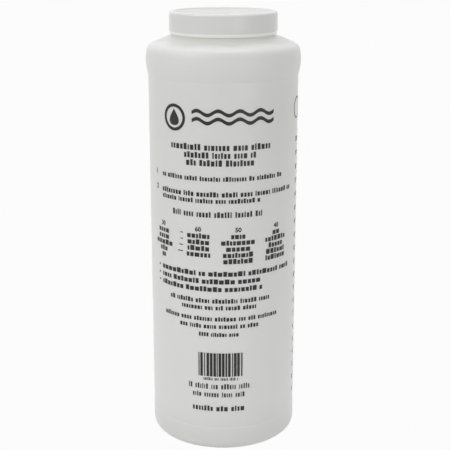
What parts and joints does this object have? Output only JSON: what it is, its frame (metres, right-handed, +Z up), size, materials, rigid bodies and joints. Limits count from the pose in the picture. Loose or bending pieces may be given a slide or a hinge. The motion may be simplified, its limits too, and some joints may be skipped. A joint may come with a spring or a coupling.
{
  "type": "fuel mixing bottle",
  "caption": "Tall round translucent plastic mixing bottle with a bead round its shoulder and a wide white screw cap.",
  "frame": {"origin": "centre of the base, on the surface the bottle stands on", "axes": "+Z up along the axis of the bottle; the printed front faces -Y"},
  "size_m": [0.0878, 0.0878, 0.25],
  "materials": {
    "natural_polyethylene": "satin, translucent",
    "white_polypropylene": "satin",
    "polyethylene_foam": "matt"
  },
  "bodies": {
    "bottle": {"bottle": "natural_polyethylene"},
    "cap_liner": {"cap_liner": "polyethylene_foam"},
    "cap": {"cap": "white_polypropylene"}
  },
  "joints": [
    {"name": "cap_lift", "type": "slide", "parent": "bottle", "child": "cap_liner", "axis": [0, 0, 1], "range_m": [0, 0.01059]},
    {"name": "cap_turn", "type": "hinge", "parent": "cap_liner", "child": "cap", "pos_m": [0, 0, 0.244], "axis": [0, 0, 1], "range_deg": [0, 900]}
  ],
  "couplings": [
    {"joint": "cap_lift", "follows": "cap_turn", "m_per_rad": 0.00067375}
  ]
}
